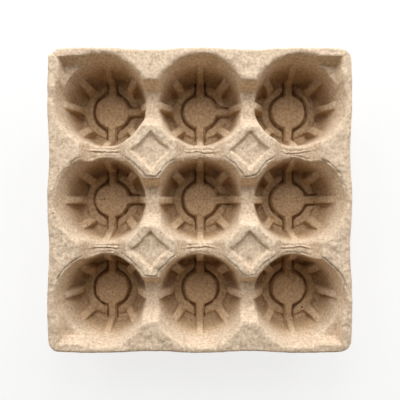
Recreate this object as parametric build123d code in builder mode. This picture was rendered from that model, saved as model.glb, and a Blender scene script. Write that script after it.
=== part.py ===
# Nine-pocket drink carrier tray, moulded from paper pulp in one piece, in millimetres.
# The origin is at the middle of the footprint, on the surface that the pocket floors stand on.
# +Z is up. Seen from above with +X to the right, +Y is the far side of the tray.

from build123d import *
from math import cos, hypot, radians, sqrt, tan
import os

os.makedirs("parts", exist_ok=True)

# Pulp and height
tray_height = 67.0
wall = 2.5

# Pockets: a 3 by 3 grid of cups with leaning sides
pocket_rows = 3
mouth_radius = 47.0
wall_draft = 8.5
pocket_gap = 6.0
mouth_flare = 3.0
flare_depth = 3.5

# Raised disc and ribs in each pocket
disc_radius = 18.7
disc_height = 3.5
rib_wall = 2.2
rib_stand = 2.0
rib_drop = 2.5
spoke_width = 8.0
spoke_bend = 4.5
short_rib_shoulder = 18.5
short_rib_reach = 6.4
corner_rib_width = 9.3
corner_rib_drop = 15.0
corner_rib_shoulder = 14.5
corner_rib_reach = 8.2
rib_toe = 1.0

# Saddles: the low bridges between neighbouring pockets
saddle_depth = 22.0
saddle_width = 28.0
crest_land = 0.7

# Dishes: shallow hollows between the pockets and along the border
dish_depth = 4.0
dish_run = 3.0
dish_ridge = 7.5
dish_tip_cut = 4.5
edge_dish_depth = 2.2
edge_dish_run = 5.5
edge_dish_ridge = 7.0
edge_dish_tip_cut = 2.0

# Notches towards the outer corners
notch_inset = 5.3
notch_depth = 17.5
notch_lean_x = 0.8
notch_lean_y = 5.0

# Border and its turned-down lip
side_rim = 6.6
end_rim = 5.8
edge_wave = 1.8
edge_bevel = 2.0
corner_radius = 10.0
clip_x = 9.0
clip_y = 7.5
lip_depth = 8.0
lip_wall = 3.5

# Overrun of the cutting shapes past the faces that they open
overrun = 1.0

# Sizes that follow
pocket_pitch = 2 * mouth_radius + pocket_gap
grid_reach = (pocket_rows - 1) / 2 * pocket_pitch
tray_length = 2 * (grid_reach + mouth_radius + side_rim)
tray_width = 2 * (grid_reach + mouth_radius + end_rim)
saddle_floor = tray_height - saddle_depth
lip_bottom = tray_height - lip_depth
rib_top = saddle_floor - rib_drop
corner_rib_top = saddle_floor - corner_rib_drop
disc_top = wall + disc_height
lean = radians(wall_draft)
dish_slope = dish_run / dish_depth
edge_dish_slope = edge_dish_run / edge_dish_depth

# Headings seen from above, and the long spokes that reach the disc, by pocket column and row
east, north, west, south = 0, 90, 180, 270
spoke_headings = {
    (-1, 1): (north, south, east), (0, 1): (north, south, east), (1, 1): (north, south),
    (-1, 0): (north, south, east), (0, 0): (north, south, east), (1, 0): (north, south, east),
    (-1, -1): (north, south), (0, -1): (north, south), (1, -1): (north, south),
}


def side_radius(height):
    """Radius of a pocket's inner side at a height above the table."""
    return mouth_radius - (tray_height - height) * tan(lean)


def sharp_tip(ridge):
    """Distance from a line of pocket centres to the point where a dish's two sides meet at deck level."""
    return sqrt((mouth_radius + ridge) ** 2 - (pocket_pitch / 2) ** 2)


# Where a dish's tip is cut off straight, and where the saddle beside it begins
diamond_tip = sharp_tip(dish_ridge) + dish_tip_cut
edge_tip = sharp_tip(edge_dish_ridge) + edge_dish_tip_cut
diamond_crest = diamond_tip - crest_land
edge_crest = edge_tip - crest_land


def tray_outline(inset):
    """Rim outline, drawn in by an inset: it bulges at each pocket, and its far left corner is clipped."""
    side_x = tray_length / 2 - edge_wave / 2 - inset
    side_y = tray_width / 2 - edge_wave / 2 - inset
    bend = corner_radius - inset
    swell = edge_wave / 2
    middle = pocket_pitch / 2
    waves = ((-grid_reach, swell), (-middle, -swell), (0, swell), (middle, -swell), (grid_reach, swell))
    with BuildSketch() as outline:
        with BuildLine():
            Spline((side_x - bend, -side_y), *[(-x, -side_y - y) for x, y in waves], (bend - side_x, -side_y),
                   tangents=((-1, 0), (-1, 0)))
            RadiusArc((bend - side_x, -side_y), (-side_x, bend - side_y), bend)
            Spline((-side_x, bend - side_y), *[(-side_x - x, y) for y, x in waves], (-side_x, side_y - clip_y),
                   tangents=((0, 1), (0, 1)))
            Line((-side_x, side_y - clip_y), (clip_x - side_x, side_y))
            Spline((clip_x - side_x, side_y), *[(x, side_y + y) for x, y in waves], (side_x - bend, side_y),
                   tangents=((1, 0), (1, 0)))
            RadiusArc((side_x - bend, side_y), (side_x, side_y - bend), bend)
            Spline((side_x, side_y - bend), *[(side_x + x, -y) for y, x in waves], (side_x, bend - side_y),
                   tangents=((0, -1), (0, -1)))
            RadiusArc((side_x, bend - side_y), (side_x - bend, -side_y), bend)
        make_face()
    return outline.sketch


def pocket_body(skin):
    """A pocket as a turned solid: the hollow with its flared mouth, or its outer form with a skin of pulp."""
    bottom = 0 if skin else wall
    side_bottom = side_radius(bottom) + skin / cos(lean)
    flare_foot = tray_height - flare_depth
    if skin:
        plate_middle = tray_height - wall / 2
        head = [(side_radius(plate_middle) + skin / cos(lean), plate_middle), (0, plate_middle)]
    else:
        head = [(side_radius(flare_foot), flare_foot), (mouth_radius + mouth_flare, tray_height),
                (mouth_radius + mouth_flare, tray_height + overrun), (0, tray_height + overrun)]
    with BuildPart() as body:
        with BuildSketch(Plane.XZ):
            with BuildLine():
                Polyline((0, bottom), (side_bottom, bottom), *head, close=True)
            make_face()
        revolve(axis=Axis.Z)
    return body.part


def saddle_body(far_crest, near_crest, skin):
    """A bar of trapezoid section along X, far_crest wide to +Y at the deck, with a skin of pulp round it."""
    top = -skin if skin else overrun
    half_floor = saddle_width / 2
    far_edge = far_crest + top * (far_crest - half_floor) / saddle_depth
    near_edge = near_crest + top * (near_crest - half_floor) / saddle_depth
    with BuildPart() as body:
        with BuildSketch(Plane.YZ):
            with BuildLine():
                Polyline((far_edge, tray_height + top), (half_floor, saddle_floor),
                         (-half_floor, saddle_floor), (-near_edge, tray_height + top), close=True)
            make_face()
            if skin:
                offset(amount=skin, kind=Kind.INTERSECTION)
        extrude(amount=pocket_pitch / 2, both=True)
    return body.part


def block(section_x, section_y):
    """The solid whose outline along Y is one polygon in X and Z, and along X another in Y and Z."""
    reach = tray_length
    with BuildPart() as body:
        with BuildSketch(Plane.XZ):
            with BuildLine():
                Polyline(*section_x, close=True)
            make_face()
        extrude(amount=reach, both=True)
        with BuildSketch(Plane.YZ):
            with BuildLine():
                Polyline(*section_y, close=True)
            make_face()
        extrude(amount=reach, both=True, mode=Mode.INTERSECT)
    return body.part


def sloped(edge, depth, slope, skin):
    """Place of a side that passes edge at the deck and leans in by slope, moved out by a skin."""
    return edge - depth * slope + skin * hypot(1, slope)


def cut_ridges(body, centres, ridge, slope, skin):
    """Cuts the round ridges about the pockets at the given centres out of a dish's block."""
    radii = [-sloped(-mouth_radius - ridge, depth, slope, skin) for depth in (-overrun, tray_height)]
    with BuildPart() as dish:
        add(body)
        with Locations(centres):
            with Locations((0, 0, tray_height / 2 + overrun / 2)):
                Cone(radii[1], radii[0], tray_height + overrun, mode=Mode.SUBTRACT)
    return dish.part


def diamond_dish(skin):
    """The shallow hollow between four pockets, or the same with a skin of pulp round it."""
    top, floor = (wall, dish_depth + skin) if skin else (-overrun, dish_depth)
    reach = pocket_pitch / 2 - diamond_tip
    sides = [(sloped(reach, depth, dish_slope, skin), tray_height - depth) for depth in (top, floor)]
    section = [*sides, *[(-x, z) for x, z in reversed(sides)]]
    corner = pocket_pitch / 2
    centres = [(x, y) for x in (-corner, corner) for y in (-corner, corner)]
    return cut_ridges(block(section, section), centres, dish_ridge, dish_slope, skin)


def edge_dish(skin):
    """The half dish between two pockets and the rim, which runs out past the rim."""
    top, floor = (wall, edge_dish_depth + skin) if skin else (-overrun, edge_dish_depth)
    outside = mouth_radius + side_rim + corner_radius
    tips = [(-sloped(-edge_tip, depth, edge_dish_slope, skin), tray_height - depth) for depth in (top, floor)]
    half_pitch = pocket_pitch / 2
    section_x = [(half_pitch, tray_height - top), (half_pitch, tray_height - floor),
                 (-half_pitch, tray_height - floor), (-half_pitch, tray_height - top)]
    section_y = [*tips, (outside, tray_height - floor), (outside, tray_height - top)]
    return cut_ridges(block(section_x, section_y), [(-half_pitch, 0), (half_pitch, 0)], edge_dish_ridge,
                      edge_dish_slope, skin)


def notch_body(skin, side_x, side_y):
    """A square-cornered notch from a pocket's axis out to one corner, leaning in to its shelf."""
    reach = mouth_radius - notch_inset
    depths = (wall / 2 if skin else -overrun, notch_depth + skin)
    sections = []
    for side, run in ((side_x, notch_lean_x), (side_y, notch_lean_y)):
        ends = [(side * sloped(reach, depth, run / notch_depth, skin), tray_height - depth) for depth in depths]
        sections.append([*ends, *[(0, z) for x, z in reversed(ends)]])
    return block(*sections)


def rib_body(start, crown, top, width, skin):
    """A rib along +X from its start over the crown's points and up the side to top; a skin hollows it."""
    down = -overrun if skin else wall / 2
    out = wall + overrun if skin else wall / 2
    crown = [*crown, (side_radius(top) - rib_stand, top)]
    with BuildPart() as body:
        with BuildSketch(Plane.XZ):
            with BuildLine():
                Polyline((start + skin, down), *[(x + skin, z - skin) for x, z in crown],
                         (side_radius(top) + out, top - skin), (side_radius(0) + out, down), close=True)
            make_face()
        extrude(amount=width / 2 - (rib_wall if skin else 0), both=True)
    return body.part


def rib_star(long_headings, skin):
    """A pocket's raised disc with its long, short and corner ribs, solid or as the hollow under them."""
    down = -overrun if skin else wall / 2
    floor_radius = side_radius(wall)
    spoke_start = disc_radius / 2
    short_bend = floor_radius - short_rib_reach
    corner_bend = floor_radius - corner_rib_reach
    short_headings = [heading for heading in (east, north, west, south) if heading not in long_headings]
    with BuildPart() as star:
        with BuildSketch(Plane.XY.offset(down)):
            Circle(disc_radius - skin)
        extrude(amount=disc_top - skin - down)
        with Locations([Location((0, 0), heading) for heading in long_headings]):
            add(rib_body(spoke_start, [(spoke_start, disc_top), (floor_radius - spoke_bend, disc_top)],
                         rib_top, spoke_width, skin))
        with Locations([Location((0, 0), heading) for heading in short_headings]):
            add(rib_body(short_bend - rib_toe, [(short_bend, wall + short_rib_shoulder)],
                         rib_top, spoke_width, skin))
        with PolarLocations(0, 4, start_angle=(east + north) / 2):
            add(rib_body(corner_bend - rib_toe, [(corner_bend, wall + corner_rib_shoulder)],
                         corner_rib_top, corner_rib_width, skin))
    return star.part


# Where the repeated shapes stand, turned so that their +Y is outwards
neck = pocket_pitch / 2
inner_saddles = [Location((side * neck, 0), 0) for side in (-1, 1)]
inner_saddles += [Location((0, side * neck), 90) for side in (-1, 1)]
edge_places = []
for heading in (east, north, west, south):
    for side in (-neck, neck):
        centre = Vector(side, grid_reach).rotate(Axis.Z, heading)
        edge_places.append(Location((centre.X, centre.Y), heading))


def place_deck_shapes(skin, mode):
    """Adds or cuts the saddles, the diamond dishes and the corner notches, with a skin or bare."""
    with Locations(inner_saddles):
        add(saddle_body(diamond_crest, diamond_crest, skin), mode=mode)
    with Locations(edge_places):
        add(saddle_body(edge_crest, diamond_crest, skin), mode=mode)
    with GridLocations(pocket_pitch, pocket_pitch, pocket_rows - 1, pocket_rows - 1):
        add(diamond_dish(skin), mode=mode)
    for side_x in (-1, 1):
        for side_y in (-1, 1):
            with Locations((side_x * grid_reach, side_y * grid_reach)):
                add(notch_body(skin, side_x, side_y), mode=mode)


def place_ribs(skin, mode):
    """Adds or cuts the rib stars of all pockets, one kind at a time."""
    for long_headings in sorted(set(spoke_headings.values())):
        star = rib_star(long_headings, skin)
        places = [(column * pocket_pitch, row * pocket_pitch)
                  for (column, row), headings in spoke_headings.items() if headings == long_headings]
        with Locations(places):
            add(star, mode=mode)


# Skins of the half dishes, trimmed to the rim outline
with BuildPart() as edge_dish_skins:
    with Locations(edge_places):
        add(edge_dish(wall))
    with BuildSketch(Plane.XY.offset(lip_bottom)):
        add(tray_outline(0))
    extrude(amount=lip_depth, mode=Mode.INTERSECT)

# The tray
with BuildPart() as pulp_tray:
    # Deck plate with the lip round its edge
    with BuildSketch(Plane.XY.offset(lip_bottom)):
        add(tray_outline(0))
    extrude(amount=lip_depth)
    chamfer(edges().group_by(Axis.Z)[-1], edge_bevel)
    with BuildSketch(Plane.XY.offset(lip_bottom)):
        add(tray_outline(lip_wall))
    extrude(amount=lip_depth - wall, mode=Mode.SUBTRACT)

    # Outer skins of everything that is pressed down into the deck
    place_deck_shapes(wall, Mode.ADD)
    add(edge_dish_skins.part)
    with GridLocations(pocket_pitch, pocket_pitch, pocket_rows, pocket_rows):
        add(pocket_body(wall))

    # The hollows themselves, open to above
    place_deck_shapes(0, Mode.SUBTRACT)
    with Locations(edge_places):
        add(edge_dish(0), mode=Mode.SUBTRACT)
    with GridLocations(pocket_pitch, pocket_pitch, pocket_rows, pocket_rows):
        add(pocket_body(0), mode=Mode.SUBTRACT)

    # Floor discs and ribs, then the hollows that they leave under the tray
    place_ribs(0, Mode.ADD)
    place_ribs(wall, Mode.SUBTRACT)

pulp_tray.part.label = "pulp_tray"
export_step(pulp_tray.part, "parts/pulp_tray.step")
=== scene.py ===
# Nine-pocket drink carrier tray of moulded paper pulp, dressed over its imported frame.
# Sizes are in millimetres until the mesh is made, and +Y is the far side of the tray.

from math import cos, pi, radians, sin, tan

import bpy
import numpy as np
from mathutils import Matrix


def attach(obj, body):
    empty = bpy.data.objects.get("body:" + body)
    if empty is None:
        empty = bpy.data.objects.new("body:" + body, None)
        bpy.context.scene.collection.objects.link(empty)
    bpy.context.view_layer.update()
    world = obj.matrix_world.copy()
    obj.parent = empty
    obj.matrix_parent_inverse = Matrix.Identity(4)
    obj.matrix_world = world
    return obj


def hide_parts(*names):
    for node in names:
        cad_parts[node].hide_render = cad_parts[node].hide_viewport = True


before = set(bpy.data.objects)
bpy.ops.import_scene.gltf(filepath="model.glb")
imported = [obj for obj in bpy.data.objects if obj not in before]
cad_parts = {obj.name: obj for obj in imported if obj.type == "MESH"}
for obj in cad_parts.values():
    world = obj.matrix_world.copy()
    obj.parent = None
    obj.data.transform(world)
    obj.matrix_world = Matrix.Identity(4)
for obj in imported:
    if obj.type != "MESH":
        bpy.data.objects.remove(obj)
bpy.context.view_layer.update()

# Deck of the tray
# The level sheet of pulp that joins the cups. It is pressed down into saddles between neighbouring
# cups, into diamond dishes between four cups, and into square notches at the outer corners.
tray_height = 67.0
pulp = 2.5
pocket_pitch = 100.0
half_pitch = pocket_pitch / 2
least_round = 0.3

saddle_depth = 22.0
saddle_half_width = 14.8
saddle_edge_round = 3.5
saddle_foot_round = 5.5
diamond_crest = 25.2
diamond_far_crest = 22.4
border_crest = 21.5
crest_blend = 1.5

dish_depth = 4.2
dish_run = 2.0
dish_edge_round = 1.6
dish_foot_round = 0.9
diamond_ring = 56.6
diamond_tip = 29.8
diamond_near_tip = 28.0
diamond_blend = 1.5
tip_softness = 1.2
border_dish_depth = 0.7
side_dish_depth = 0.8
border_dish_run = 5.5
border_dish_round = 7.0
border_ring = 54.0
border_tip = 22.4
border_blend = 5.0

notch_depth = 15.0
notch_reach_side = 42.2
notch_reach_end = 44.6
notch_lean_side = 1.6
notch_lean_end = 5.4
notch_edge_round = 1.8
notch_foot_round = 1.0
notch_corner_blend = 1.2


def smooth_min(a, b, blend):
    """The lower of two values, rounded by a parabola where they differ by less than blend."""
    closeness = np.clip(1 - np.abs(a - b) / blend, 0, None)
    return np.minimum(a, b) - closeness ** 2 * blend / 4


def smooth_max(a, b, blend):
    """The higher of two values, rounded where they differ by less than blend."""
    return -smooth_min(-a, -b, blend)


def bank(inward, drop, lean, edge_round, foot_round, skin=0.0):
    """
    Depth below a level edge at a distance inward from it: level, an arc over the edge, a straight
    side that falls by drop over lean, an arc at the foot, and level again. With a skin it is the
    same profile moved into the pulp at right angles, so convex arcs shrink and hollow ones grow.
    """
    slope = np.arctan2(drop, lean)
    edge_round = np.maximum(edge_round - skin, least_round)
    foot_round = foot_round + skin
    inward = inward + skin * np.tan(slope / 2)
    edge_reach = edge_round * np.tan(slope / 2)
    foot_reach = foot_round * np.tan(slope / 2)
    over = np.clip(inward + edge_reach, 0, edge_round)
    under = np.clip(lean + foot_reach - inward, 0, foot_round)
    depth = inward * np.tan(slope)
    depth = np.where(inward < edge_reach * np.cos(slope),
                     edge_round - np.sqrt(edge_round ** 2 - over ** 2), depth)
    depth = np.where(inward > lean - foot_reach * np.cos(slope),
                     drop - foot_round + np.sqrt(foot_round ** 2 - under ** 2), depth)
    return skin + depth


def nearest_pocket(x, y):
    """
    The pocket nearest to each place, by its column and row from -1 to 1, and the place measured
    from that pocket's middle.
    """
    column = np.clip(np.rint(x / pocket_pitch), -1, 1)
    row = np.clip(np.rint(y / pocket_pitch), -1, 1)
    return column, row, x - column * pocket_pitch, y - row * pocket_pitch


def deck(x, y, skin):
    """
    Height of the deck above the table at a place seen from above: the full height less the deepest
    of the saddle, dish or notch there. Towards one neighbour of the nearest pocket lies a saddle,
    towards two a diamond dish, towards one and the rim a half dish, and towards none a notch. The
    skin is 0 for the upper face and the pulp's thickness for the underside.
    """
    column, row, u, v = nearest_pocket(x, y)
    beside = np.abs(column + np.sign(u)) <= 1
    beyond = np.abs(row + np.sign(v)) <= 1
    corner = ~beside & ~beyond
    sideways = np.abs(u) >= np.abs(v)
    far_flank = (v > 0) & sideways
    u, v = np.abs(u), np.abs(v)
    across = np.minimum(u, v)

    crest = np.where(np.where(sideways, beyond, beside),
                     np.where(far_flank, diamond_far_crest, diamond_crest), border_crest)
    saddle = bank(crest - across, saddle_depth, crest - saddle_half_width,
                  saddle_edge_round, saddle_foot_round, skin)
    saddle = np.where(np.where(sideways, beside, beyond), saddle, skin)

    fold_u = np.where(beside, half_pitch - np.hypot(half_pitch - u, tip_softness), u)
    fold_v = np.where(beyond, half_pitch - np.hypot(half_pitch - v, tip_softness), v)
    ring = np.hypot(fold_u, fold_v)
    tip = np.where(far_flank, diamond_near_tip, diamond_tip)
    inward = smooth_min(ring - diamond_ring, across - tip, diamond_blend)
    diamond = bank(inward, dish_depth, dish_run, dish_edge_round, dish_foot_round, skin)
    inward = smooth_min(ring - border_ring, np.where(beside, v, u) - border_tip, border_blend)
    half_dish = bank(inward, np.where(beside, border_dish_depth, side_dish_depth),
                     border_dish_run, border_dish_round, border_dish_round, skin)
    dish = np.where(beside & beyond, diamond, half_dish)
    dish = np.where(corner, skin, dish)

    notch = smooth_min(
        bank(notch_reach_side - u, notch_depth, notch_lean_side,
             notch_edge_round, notch_foot_round, skin),
        bank(notch_reach_end - v, notch_depth, notch_lean_end,
             notch_edge_round, notch_foot_round, skin),
        notch_corner_blend)
    notch = np.where(corner, np.maximum(notch, skin), skin)
    return tray_height - np.maximum(smooth_max(saddle, dish, crest_blend), notch)


# Cup pockets
# Nine cups with sides that lean out by 8.5 degrees, so that the dried tray slips off its mould.
# Their mouths roll over onto the deck, and follow it down into the saddles and notches.
mouth_radius = 47.0
draft = radians(8.5)
mouth_round = 4.0
shelf_round = 1.4
shelf_draw_in = 1.0
far_round = 2.0
far_draw_in = 1.2
far_start, far_run = -2.0, 14.0
floor_round = 3.5


def pocket(r, rim, is_corner, at_far, skin):
    """
    Height in a pocket at a radius, under a deck that is rim high there: an arc over the mouth,
    the leaning side, an arc at the foot and the level floor. A corner's shelf reaches a little
    further in, with a tighter arc, and so does the far outer side of the middle and near cups.
    """
    depth = tray_height - rim
    drop = rim - (pulp - skin)
    down = np.where(is_corner, np.clip(depth / notch_depth, 0, 1), 0)
    side = mouth_radius - depth * tan(draft) - shelf_draw_in * down + skin / cos(draft)
    side = side - far_draw_in * at_far
    over_round = mouth_round + (shelf_round - mouth_round) * down
    over_round = over_round + (far_round - mouth_round) * at_far * (1 - down)
    return rim - bank(side - r, drop, drop * tan(draft), np.maximum(over_round - skin, least_round),
                      floor_round + skin)


# Ribs and raised discs
# Ribs stiffen each cup and hold the drink upright: up to four long spokes from a raised disc over
# the floor and up the side, short ribs where a spoke is missing, and four wider ribs towards the
# cell's corners. A narrow channel is pressed round the disc and spokes, inside a low ring.
disc_radius = 18.7
disc_top = 6.0
disc_reach = 4.0
spoke_half_width = 4.0
corner_half_width = 4.65
rib_wall = 2.2
rib_lean = 1.0
rib_round = 1.5
crown_bend = 1.3
stations = np.linspace(0, 60, 481)

ring_radius = 30.5
ring_rise = 1.7
channel_depth = 1.6
channel_overlap = 0.4
channel_width = 4.2
channel_narrow = 2.6
narrow_start, narrow_run = 22.0, 4.0
channel_end, channel_fade = 36.0, 3.0
channel_fillet = 4.0
inner_softness, outer_softness = 0.2, 0.25
no_spoke = 99.0


def crown(*points):
    """Heights of a rib's ridge at the stations: straight runs between points, with round bends."""
    reach = round(crown_bend / (stations[1] - stations[0]))
    weights = np.hanning(2 * reach + 3)[1:-1]
    runs = np.pad(np.interp(stations, *zip(*points)), reach, mode="edge")
    return np.convolve(runs, weights / weights.sum(), mode="valid")


long_crown = crown((32.3, disc_top), (33.2, 16.0), (37.8, 30.5), (42.5, 41.0))
short_crown = crown((29.8, 0), (31.2, 21.0), (41.3, 42.5))
corner_crown = crown((28.0, 0), (29.4, 17.0), (39.5, 30.0))

# Whether a long spoke runs east, north, west and south, by the pocket's column from the left and
# its row from the near side
long_spokes = np.array([
    [[0, 1, 0, 1], [1, 1, 0, 1], [1, 1, 0, 1]],
    [[0, 1, 0, 1], [1, 1, 0, 1], [1, 1, 0, 1]],
    [[0, 1, 0, 1], [1, 1, 0, 1], [0, 1, 0, 1]],
], bool)


def rib(base, along, across, ridge, half_width, skin):
    """
    Height with a rib set on the base: the ridge line along it, less a bank over each side. Where
    the ridge is steep the bank is stretched upwards, so that its arcs stay round across the face.
    """
    top = np.interp(along, stations, ridge)
    stretch = np.hypot(1, np.interp(along, stations, np.gradient(ridge, stations)))
    top = top - skin * stretch
    half_width = half_width - (rib_wall if skin else 0) - rib_lean / 2
    drop = np.maximum(top - base, 0) / stretch
    return top - stretch * bank(np.abs(across) - half_width, drop, rib_lean, rib_round, rib_round)


def star(base, column, row, u, v, skin):
    """Height of a pocket with its ring, channel, disc and ribs set on its bare form, the base."""
    r = np.hypot(u, v)
    heading = np.where(np.abs(u) >= np.abs(v), np.where(u > 0, 0, 2), np.where(v > 0, 1, 3))
    is_long = long_spokes[column.astype(int) + 1, row.astype(int) + 1, heading]
    along, across = np.maximum(np.abs(u), np.abs(v)), np.minimum(np.abs(u), np.abs(v))

    disc_drop = disc_top - pulp
    if not skin:
        beside_spoke = np.where(is_long, across - spoke_half_width, no_spoke)
        outside = smooth_min(r - disc_radius, beside_spoke, channel_fillet)
        narrowing = np.clip((r - narrow_start) / narrow_run, 0, 1)
        width = channel_width + (channel_narrow - channel_width) * narrowing
        channel = (1 / (1 + np.exp(-(outside + channel_overlap) / inner_softness))
                   / (1 + np.exp((outside - width) / outer_softness)))
        channel = channel * np.clip((channel_end - r) / channel_fade, 0, 1)
        ring = ring_rise / (1 + np.exp((r - ring_radius) / outer_softness))
        base = base + ring - (ring + channel_depth) * channel
        disc_drop = disc_drop + channel_depth

    raised = disc_top - skin - bank(r - disc_radius + skin + rib_lean / 2, disc_drop, rib_lean,
                                    rib_round, rib_round)
    height = np.where(r < disc_radius + disc_reach, np.maximum(base, raised), base)
    long_rib = rib(height, along, across, long_crown, spoke_half_width, skin)
    short_rib = rib(height, along, across, short_crown, spoke_half_width, skin)
    height = np.maximum(height, np.where(is_long, long_rib, short_rib))
    along = (np.abs(u) + np.abs(v)) / np.sqrt(2)
    across = (np.abs(u) - np.abs(v)) / np.sqrt(2)
    return np.maximum(height, rib(height, along, across, corner_crown, corner_half_width, skin))


# Unevenness of the pulp
# The wet sheet settles unevenly on the mesh, creases under the press and shrinks as it dries, so
# no edge is quite true and no face is quite flat. Lumps are rows of height, size and seed.
edge_drift_x = ((0.55, 14, 1), (0.3, 5, 2))
edge_drift_y = ((0.55, 14, 3), (0.3, 5, 4))
face_lumps = ((0.6, 6, 5), (0.45, 2.6, 13))
thinnest = 0.5

fold_wobble = ((0.9, 3.1, 6), (0.9, 8, 7))
strength_lumps = ((0.6, 5, 8),)
mean_strength = 0.7
terrace_depth = 0.9
terrace_edge = 0.6
terrace_radius = 50.3
terrace_start, terrace_run = 3.0, 12.0
terrace_inside, terrace_inside_run = 40.0, 3.0
terrace_draw_in, draw_in_reach = 2.8, 6.0
terrace_tip = 24.2
terrace_tip_start = 42.5
terrace_extra, terrace_least, terrace_most = 0.4, 0.3, 1.4
no_tip = -9.0
fold_depth, fold_place, fold_width = 1.0, 0.4, 0.5
rim_crease_depth, rim_crease_radius, rim_crease_width = 1.1, 45.9, 0.6
rim_crease_wobble = 1.3
rim_crease_most = 1.2

seam_wobble = ((1.2, 6, 10), (0.8, 2.2, 11))
seam_end_wobble = ((0.5, 4, 12),)
seam_place = -0.5
seam_half_length = 20.5
seam_width = 0.5
seam_extra, seam_least, seam_most = 0.2, 0.3, 1.2
ridge_height, ridge_place, ridge_width = 0.8, 1.6, 0.7
valley_depth, valley_place, valley_width = 0.7, 3.6, 0.6
seam_end_depth = 0.5
seam_end_length = 7.5
seam_fade = 1.0

mitre_depth = 0.7
mitre_length = 5.5
mitre_start, mitre_start_run = -0.8, 1.0
mitre_fade = 2.0
mitre_pleats = 1.9
mitre_width = 1.9
mitre_overlap = 2.6


def lumps(x, y, layers):
    """
    Soft random lumps: for each layer of height, size and seed, random heights on a square lattice
    of that size, joined by cubic B-splines, and the layers added up.
    """
    total = 0
    for amount, size, seed in layers:
        heights = np.random.default_rng(seed).standard_normal((64, 64))
        column, s = np.divmod(x / size, 1)
        row, t = np.divmod(y / size, 1)
        weights = [[(1 - p) ** 3 / 6, (3 * p ** 3 - 6 * p ** 2 + 4) / 6,
                    (1 + 3 * p + 3 * p ** 2 - 3 * p ** 3) / 6, p ** 3 / 6] for p in (s, t)]
        for i, across in enumerate(weights[0]):
            for j, along in enumerate(weights[1]):
                corner = heights[(column.astype(int) + i) % 64, (row.astype(int) + j) % 64]
                total = total + amount * across * along * corner
    return total


def ease(x, start, run):
    """A smooth rise from 0 to 1 over a run that begins at start: a cubic, level at both ends."""
    x = np.clip((x - start) / run, 0, 1)
    return x * x * (3 - 2 * x)


def bell(x, place, width):
    """A bell curve, 1 at its place and about a third at its width to either side."""
    return np.exp(-((x - place) / width) ** 2)


def rucks(x, y, column, row, u, v):
    """
    What the press left in the wet sheet: a terrace a little below the deck along the far side of
    the middle and near cups, a wavering crease inside it, a seam along the bridges between the
    rows, lapped like a hem and creased at its ends, and a short mitre outside each corner notch.
    """
    r = np.hypot(u, v)
    wobble = lumps(x, y, fold_wobble)
    strength = mean_strength + lumps(x, y, strength_lumps)
    bridge_rows = np.abs(y) < pocket_pitch
    on_bridge = ease(seam_half_length - np.abs(u), 0, seam_fade) * bridge_rows
    far_side = np.where(row < 1, ease(v, terrace_start, terrace_run), 0)
    far_side = far_side * ease(r, terrace_inside, terrace_inside_run)
    drawn_in = ease(column * u, -draw_in_reach, 2 * draw_in_reach)
    outer = terrace_radius - terrace_draw_in * np.abs(column) * drawn_in
    to_tip = np.where((np.abs(u) > terrace_tip_start) & (column * u <= 0), terrace_tip - v, no_tip)
    within = np.maximum(outer - r, to_tip) + wobble
    terrace = (terrace_depth * ease(within, -terrace_edge / 2, terrace_edge)
               + fold_depth * bell(within, fold_place, fold_width))
    terrace = terrace * np.clip(strength + terrace_extra, terrace_least, terrace_most)
    crease = bell(r + rim_crease_wobble * wobble, rim_crease_radius, rim_crease_width)
    crease = crease * rim_crease_depth * np.clip(strength, 0, rim_crease_most)
    height = -far_side * ((1 - on_bridge) * terrace + crease)

    beyond = y - np.sign(y) * half_pitch - seam_place + lumps(x, y, seam_wobble)
    groove = bell(beyond, 0, seam_width) * np.clip(strength + seam_extra, seam_least, seam_most)
    lap = (ridge_height * bell(beyond, ridge_place, ridge_width)
           - valley_depth * bell(beyond, valley_place, valley_width) - groove)
    height = height + on_bridge * lap
    from_end = np.abs(u) - seam_half_length - lumps(x, y, seam_end_wobble)
    end_span = ease(beyond, -seam_fade, seam_fade) * ease(seam_end_length - beyond, 0, seam_fade)
    height = height - seam_end_depth * end_span * bridge_rows * bell(from_end, 0, seam_width)

    beside_notch = np.abs(u) - notch_reach_side
    beyond_notch = np.abs(v) - notch_reach_end + mitre_overlap
    out = np.minimum(beside_notch, beyond_notch)
    aslant = beside_notch - beyond_notch
    is_corner = (column * u > 0) & (row * v > 0)
    pleats = np.cos(mitre_pleats * aslant) * bell(aslant, 0, mitre_width)
    mitre = pleats * ease(out, mitre_start, mitre_start_run)
    mitre = mitre * ease(mitre_length - out, 0, mitre_fade)
    return height - mitre_depth * is_corner * mitre


def surface(x, y, skin):
    """Height of the tray's upper face, or of its underside where skin is the pulp's thickness."""
    px, py = x + lumps(x, y, edge_drift_x), y + lumps(x, y, edge_drift_y)
    column, row, u, v = nearest_pocket(px, py)
    is_corner = (column * u > 0) & (row * v > 0)
    at_far = (row < 1) * ease(v, far_start, far_run) * ease(column * u, 0, far_run)
    bare = pocket(np.hypot(u, v), deck(px, py, skin), is_corner, at_far, skin)
    height = star(bare, column, row, u, v, skin)
    if skin:
        return np.maximum(height, 0)
    uneven = rucks(x, y, column, row, u, v) + lumps(x, y, face_lumps)
    return np.maximum(height + uneven, thinnest)


# Rim
# The outer edge bulges gently at each cup and draws in between them. It rolls over into a lip
# that is turned down by 8 mm, and the far left corner is cut off slanting and creased.
half_length = 153.3
half_width = 153.4
aside = -0.5
corner_radius = 13.5
clip_run, clip_rise = 10.0, 8.8
swell = 0.9
swell_end = 42.0
swell_reach, swell_run = 8.0, 7.0
rim_round = 2.4
lip_depth = 8.0
lip_wall = 3.5
lip_edge_round = 1.2
clip_crease_depth, clip_crease_inset, clip_crease_width = 1.1, 3.1, 0.5
clip_crease_middle, clip_crease_reach, clip_crease_fade = 8.0, 4.9, 1.0


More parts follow.
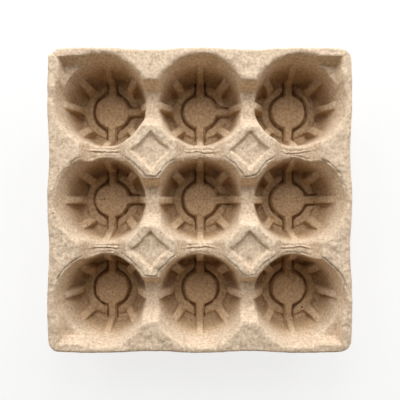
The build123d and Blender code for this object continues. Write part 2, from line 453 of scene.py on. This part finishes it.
def wave(y):
    """The edge's place from its widest, 0 or less: a cosine along it that fades at the corners."""
    between = np.cos(2 * pi * y / pocket_pitch)
    fade = np.cos(pi / 2 * np.clip((np.abs(y) - pocket_pitch) / swell_end, 0, 1))
    return swell * np.where(np.abs(y) > pocket_pitch, fade, between) - swell


def place(a, b, inset):
    """
    Places in the tray's outline, drawn in by an inset, for a and b from -1 to 1. Away from the rim
    they are straight multiples; a corner's square is drawn into a quarter disc, or into a triangle
    at the clipped corner; and the last few millimetres follow the waves.
    """
    clipped = (a < 0) & (b > 0)
    bend = corner_radius - inset
    x, y = np.abs(a) * (half_length - inset), np.abs(b) * (half_width - inset)
    bend_x, bend_y = np.where(clipped, clip_run, bend), np.where(clipped, clip_rise, bend)
    start_x, start_y = half_length - inset - bend_x, half_width - inset - bend_y
    p = np.clip((x - start_x) / bend_x, 0, 1)
    q = np.clip((y - start_y) / bend_y, 0, 1)
    x = np.minimum(x, start_x) + bend_x * p * np.where(clipped, 1 - q / 2, np.sqrt(1 - q ** 2 / 2))
    y = np.minimum(y, start_y) + bend_y * q * np.where(clipped, 1 - p / 2, np.sqrt(1 - p ** 2 / 2))
    near_x = ease(x, half_length - swell_reach, swell_run)
    near_y = ease(y, half_width - swell_reach, swell_run)
    x = x + wave(y) * near_x
    y = y + wave(x) * near_y
    return np.sign(a) * x + aside, np.sign(b) * y


def clip_crease(x, y):
    """
    Depth of the crease in the upper face along the clipped corner: a bell across it, which fades
    towards both ends.
    """
    x, y = x - aside + half_length, y - half_width + clip_rise
    slant = np.hypot(clip_run, clip_rise)
    inside = (x * clip_rise - y * clip_run) / slant
    along = (x * clip_run + y * clip_rise) / slant
    to_end = clip_crease_reach - np.abs(along - clip_crease_middle)
    return (clip_crease_depth * bell(inside, clip_crease_inset, clip_crease_width)
            * ease(to_end, 0, clip_crease_fade))


# The moulding
# Upper face, rolled lip and underside make one closed sheet of pulp. The two faces are grids of
# heights, joined by loops that make the lip, and the sheet is thinned where it is smooth.
grid_step = 0.55
triangle_budget = 190000
steps = round(2 * half_length / grid_step / 2) * 2 + 1
line = np.linspace(-1, 1, steps)
a, b = np.meshgrid(line, line, indexing="ij")
index = np.arange(steps ** 2).reshape(steps, steps)
border = np.concatenate([index[:-1, 0], index[-1, :-1], index[:0:-1, -1], index[0, :0:-1]])

x, y = place(a, b, rim_round)
top = np.stack([x, y, surface(x, y, 0) - clip_crease(x, y)], axis=-1).reshape(-1, 3)
x, y = place(a, b, lip_wall)
under = np.stack([x, y, surface(x, y, pulp)], axis=-1).reshape(-1, 3)

# Loops of the lip, each an inset from the outline and its heights
roll = np.radians([18, 36, 54, 72, 90])
turn = np.radians([0, 30, 60, 90])
rolled = top[border, 2] - rim_round
turned = tray_height - lip_depth + lip_edge_round
profile = [(rim_round * (1 - sin(t)), top[border, 2] - rim_round * (1 - cos(t))) for t in roll]
profile += [(0, (rolled + turned) / 2)]
profile += [(lip_edge_round * (1 - cos(t)), turned - lip_edge_round * sin(t)) for t in turn]
profile += [(lip_wall - lip_edge_round * (1 - sin(t)), turned - lip_edge_round * cos(t))
            for t in turn]
loops = []
for inset, heights in profile:
    x, y = place(a.ravel()[border], b.ravel()[border], inset)
    loops.append(np.stack([x, y, np.broadcast_to(heights, x.shape)], axis=-1))

points = np.concatenate([top, under, *loops]) / 1000
count = len(border)
rows = [border] + [2 * len(top) + k * count + np.arange(count) for k in range(len(loops))]
rows.append(len(top) + border)
cells = [index[:-1, :-1], index[1:, :-1], index[1:, 1:], index[:-1, 1:]]
quads = [np.stack(cells, axis=-1).reshape(-1, 4)]
quads.append(quads[0][:, ::-1] + len(top))
for upper, lower in zip(rows, rows[1:]):
    quads.append(np.stack([upper, lower, np.roll(lower, -1), np.roll(upper, -1)], axis=-1))
quads = np.concatenate(quads).astype(np.int32)

sheet = bpy.data.meshes.new("pulp_sheet")
sheet.vertices.add(len(points))
sheet.vertices.foreach_set("co", points.ravel())
sheet.loops.add(quads.size)
sheet.loops.foreach_set("vertex_index", quads.ravel())
sheet.polygons.add(len(quads))
sheet.polygons.foreach_set("loop_start", np.arange(0, quads.size, 4, dtype=np.int32))
sheet.update(calc_edges=True)

tray = bpy.data.objects.new("pulp_tray_moulding", sheet)
bpy.context.scene.collection.objects.link(tray)
thinning = tray.modifiers.new("thinning", "DECIMATE")
thinning.ratio = min(1, triangle_budget / (2 * len(quads)))
evaluated = tray.evaluated_get(bpy.context.evaluated_depsgraph_get())
thinned = bpy.data.meshes.new_from_object(evaluated)
tray.modifiers.clear()
tray.data = thinned
thinned.name = "pulp_tray_moulding"
thinned.shade_smooth()


# Moulded paper pulp
# Recycled fibre, pressed wet on a mesh and dried. To the eye it is matt and softly mottled, with a
# felted grain and a few dark flecks and specks of old print. Painted shade browns it down in the
# cups and darkens the channel round each disc.
def linear(hex_colour):
    """Linear RGBA of an sRGB hex colour."""
    channels = np.array([int(hex_colour[i:i + 2], 16) for i in (1, 3, 5)]) / 255
    curved = ((channels + 0.055) / 1.055) ** 2.4
    return (*np.where(channels <= 0.04045, channels / 12.92, curved), 1)


def add_node(tree, kind, inputs=None, **settings):
    """
    A shader node with its settings. The inputs are a socket's name or number each, with the value
    it is set to or the output it is linked to.
    """
    node = tree.nodes.new(kind)
    for name, value in settings.items():
        setattr(node, name, value)
    for key, value in (inputs or {}).items():
        if isinstance(value, bpy.types.NodeSocket):
            tree.links.new(value, node.inputs[key])
        else:
            node.inputs[key].default_value = value
    return node


def per_mm(size):
    """Texture scale for a pattern of this size in millimetres."""
    return 1000 / size


# Numbers of a Mix node's colour sockets, whose names it shares with its other kinds
mix_a, mix_b, mixed = 6, 7, 2

pulp_material = bpy.data.materials.new("moulded_paper_pulp")
pulp_material.use_nodes = True
tree = pulp_material.node_tree
tree.nodes.clear()
coordinates = add_node(tree, "ShaderNodeTexCoord")
where = coordinates.outputs["Object"]

# Clumps of fibre about 9 mm wide, and a finer mottle of about 3 mm over them
clumps = add_node(tree, "ShaderNodeTexNoise",
                  {"Vector": where, "Scale": per_mm(9), "Detail": 3.0, "Roughness": 0.6})
clump_tone = add_node(tree, "ShaderNodeMix",
                      {"Factor": clumps.outputs["Fac"], mix_a: linear("#DCC4A8"),
                       mix_b: linear("#EFDCC3")}, data_type="RGBA")
mottle = add_node(tree, "ShaderNodeTexNoise",
                  {"Vector": where, "Scale": per_mm(3), "Detail": 4.0, "Roughness": 0.7})
mottle_tone = add_node(tree, "ShaderNodeValToRGB", {"Fac": mottle.outputs["Fac"]})
dark, pale = mottle_tone.color_ramp.elements
dark.position, dark.color = 0.33, linear("#A58562")
pale.position, pale.color = 0.62, linear("#EFDBC2")
tone = add_node(tree, "ShaderNodeMix",
                {"Factor": 0.62, mix_a: clump_tone.outputs[mixed],
                 mix_b: mottle_tone.outputs["Color"]}, data_type="RGBA")

# Flecks under a millimetre wide, about 7 mm apart
flecks = add_node(tree, "ShaderNodeTexVoronoi",
                  {"Vector": where, "Scale": per_mm(7), "Randomness": 1.0})
fleck_share = add_node(tree, "ShaderNodeValToRGB", {"Fac": flecks.outputs["Distance"]})
inside, outside = fleck_share.color_ramp.elements
inside.position, inside.color = 0.05, (1, 1, 1, 1)
outside.position, outside.color = 0.09, (0, 0, 0, 1)
flecked = add_node(tree, "ShaderNodeMix",
                   {"Factor": fleck_share.outputs["Color"], mix_a: tone.outputs[mixed],
                    mix_b: linear("#6E5840")}, data_type="RGBA")

# The largest specks, each at its place in millimetres from the tray's middle and with its radius.
# A speck fades out from half its radius to a little beyond it.
specks = [(-104.0, 102.0, 0.7), (-108.5, 1.5, 0.9), (-112.5, -6.0, 0.8), (128.8, -2.0, 1.1),
          (109.0, 2.8, 0.9), (115.9, -121.8, 1.2), (-79.8, -54.2, 1.0), (-147.2, -13.1, 0.9)]
seen_flat = add_node(tree, "ShaderNodeVectorMath", {0: where, 1: (1, 1, 0)}, operation="MULTIPLY")
speck_share = 0.0
for speck_x, speck_y, radius in specks:
    apart = add_node(tree, "ShaderNodeVectorMath",
                     {0: seen_flat.outputs[0], 1: (speck_x / 1000, speck_y / 1000, 0)},
                     operation="DISTANCE")
    spot = add_node(tree, "ShaderNodeMapRange",
                    {"Value": apart.outputs["Value"], "From Min": 1.2 * radius / 1000,
                     "From Max": 0.5 * radius / 1000})
    either = add_node(tree, "ShaderNodeMath", {0: spot.outputs[0], 1: speck_share},
                      operation="MAXIMUM")
    speck_share = either.outputs[0]
speckled = add_node(tree, "ShaderNodeMix",
                    {"Factor": speck_share, mix_a: flecked.outputs[mixed],
                     mix_b: linear("#5A4330")}, data_type="RGBA")

# Painted shade: the colour is multiplied browner and darker towards the cups' floors, where shade
# falls
height = add_node(tree, "ShaderNodeSeparateXYZ", {"Vector": where}).outputs["Z"]
depth_shade = add_node(tree, "ShaderNodeMapRange",
                {"Value": height, "From Min": 0.048, "From Max": 0.022})
depth_shaded = add_node(tree, "ShaderNodeMix",
                   {"Factor": depth_shade.outputs[0], mix_a: speckled.outputs[mixed],
                    mix_b: linear("#E2D5C2")}, data_type="RGBA", blend_type="MULTIPLY")

# Painted shade in the channel round the disc: the upward faces lowest in the floor are darkened
upright = add_node(tree, "ShaderNodeSeparateXYZ", {"Vector": coordinates.outputs["Normal"]})
channel_shade_share = add_node(tree, "ShaderNodeMapRange",
                {"Value": height, "From Min": 0.0020, "From Max": 0.0012})
channel_shade = add_node(tree, "ShaderNodeMath", {0: channel_shade_share.outputs[0], 1: upright.outputs["Z"]},
                 operation="MULTIPLY", use_clamp=True)
channel_shaded = add_node(tree, "ShaderNodeMix",
                   {"Factor": channel_shade.outputs[0], mix_a: depth_shaded.outputs[mixed],
                    mix_b: linear("#AD9B89")}, data_type="RGBA", blend_type="MULTIPLY")

# Felted grain, drawn at 1.3 mm, which is as coarse as it needs to be to show
grain = add_node(tree, "ShaderNodeTexNoise",
                 {"Vector": where, "Scale": per_mm(1.3), "Detail": 5.0, "Roughness": 0.7})
felt = add_node(tree, "ShaderNodeBump",
                {"Height": grain.outputs["Fac"], "Distance": 0.0008, "Strength": 1.0})
finish = add_node(tree, "ShaderNodeBsdfPrincipled",
                  {"Base Color": channel_shaded.outputs[mixed], "Roughness": 0.95,
                   "Specular IOR Level": 0.25, "Normal": felt.outputs["Normal"]})
add_node(tree, "ShaderNodeOutputMaterial", {"Surface": finish.outputs["BSDF"]})
tray.data.materials.append(pulp_material)

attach(tray, "root")
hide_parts("pulp_tray")

# Table
# A plain white table top. To the camera it glows nearly white, more so further out, and what is
# left of its own paint keeps the tray's shadow. It lies a hair below the floors of the cups.
bpy.ops.mesh.primitive_plane_add(size=8, location=(0, 0, -0.0002))
table = bpy.context.object
table.name = "table"
white = bpy.data.materials.new("white_table")
white.use_nodes = True
tree = white.node_tree
tree.nodes.clear()
on_table = add_node(tree, "ShaderNodeTexCoord").outputs["Object"]
away = add_node(tree, "ShaderNodeVectorMath", {"Vector": on_table}, operation="LENGTH")
glow_share = add_node(tree, "ShaderNodeMapRange",
                      {"Value": away.outputs["Value"], "From Min": 0.35, "From Max": 1.2,
                       "To Min": 0.8})
seen = add_node(tree, "ShaderNodeLightPath").outputs["Is Camera Ray"]
share = add_node(tree, "ShaderNodeMath", {0: seen, 1: glow_share.outputs["Result"]},
                 operation="MULTIPLY")
paint = add_node(tree, "ShaderNodeBsdfDiffuse", {"Color": linear("#F9F9F9")})
glow = add_node(tree, "ShaderNodeEmission", {"Color": linear("#FFFFFF"), "Strength": 1.0})
blend = add_node(tree, "ShaderNodeMixShader",
                 {"Fac": share.outputs[0], 1: paint.outputs[0], 2: glow.outputs[0]})
add_node(tree, "ShaderNodeOutputMaterial", {"Surface": blend.outputs[0]})
table.data.materials.append(white)

# Light
# Soft boxes, mostly round the far side, so that the cups darken towards their far walls, and a
# weak warm bank on the near side. Each has its heading, its zenith angle, its distance in metres,
# its share of the light on the level deck and its colour.
day, warm = (1, 1, 1), (1, 0.8, 0.55)
soft_boxes = {
    "far": (0, 44, 1.0, 0.27, day),
    "right": (55, 44, 1.0, 0.09, day),
    "left": (-55, 44, 1.0, 0.095, day),
    "far_right": (30, 60, 4.0, 0.13, day),
    "far_left": (-30, 60, 4.0, 0.145, day),
    "low": (0, 74, 4.0, 0.07, day),
    "low_right": (60, 74, 4.0, 0.06, day),
    "low_left": (-60, 74, 4.0, 0.06, day),
    "top": (0, 26, 1.2, 0.05, day),
    "near_right": (130, 74, 4.0, 0.034, warm),
    "near_left": (-130, 74, 4.0, 0.04, warm),
}
box_spread = 0.35
for name, (heading, zenith, distance, light_share, tint) in soft_boxes.items():
    heading, zenith = radians(heading), radians(zenith)
    lamp = bpy.data.lights.new("lamp_" + name, "AREA")
    lamp.size = box_spread * distance
    lamp.color = tint
    lamp.energy = light_share * (pi * distance) ** 2 / cos(zenith)
    soft_box = bpy.data.objects.new("lamp_" + name, lamp)
    soft_box.rotation_euler = (-zenith, 0, -heading)
    soft_box.location = (distance * sin(zenith) * sin(heading),
                         distance * sin(zenith) * cos(heading),
                         tray_height / 1000 + distance * cos(zenith))
    bpy.context.scene.collection.objects.link(soft_box)

world = bpy.data.worlds.new("studio")
world.use_nodes = True
tree = world.node_tree
tree.nodes.clear()
seen = add_node(tree, "ShaderNodeLightPath").outputs["Is Camera Ray"]
sky_strength = add_node(tree, "ShaderNodeMapRange",
                        {"Value": seen, "To Min": 0.012, "To Max": 1.0})
sky = add_node(tree, "ShaderNodeBackground",
               {"Color": linear("#FFFFFF"), "Strength": sky_strength.outputs[0]})
add_node(tree, "ShaderNodeOutputWorld", {"Surface": sky.outputs[0]})
bpy.context.scene.world = world

# Camera
# Straight above the middle of the tray, at a height from which one pixel of the photograph is one
# millimetre on the deck. There the tray stands 0.2 pixels right of the middle and 0.2 below it.
camera_above_deck = 455.0
photo_width = 400.0
off_middle = 0.2
camera = bpy.data.cameras.new("camera")
camera.lens = camera.sensor_width * camera_above_deck / photo_width
camera.shift_x, camera.shift_y = -off_middle / photo_width, off_middle / photo_width
camera_object = bpy.data.objects.new("camera", camera)
camera_object.location = (0, 0, (camera_above_deck + tray_height) / 1000)
bpy.context.scene.collection.objects.link(camera_object)
bpy.context.scene.camera = camera_object

bpy.context.scene.view_settings.view_transform = "Standard"
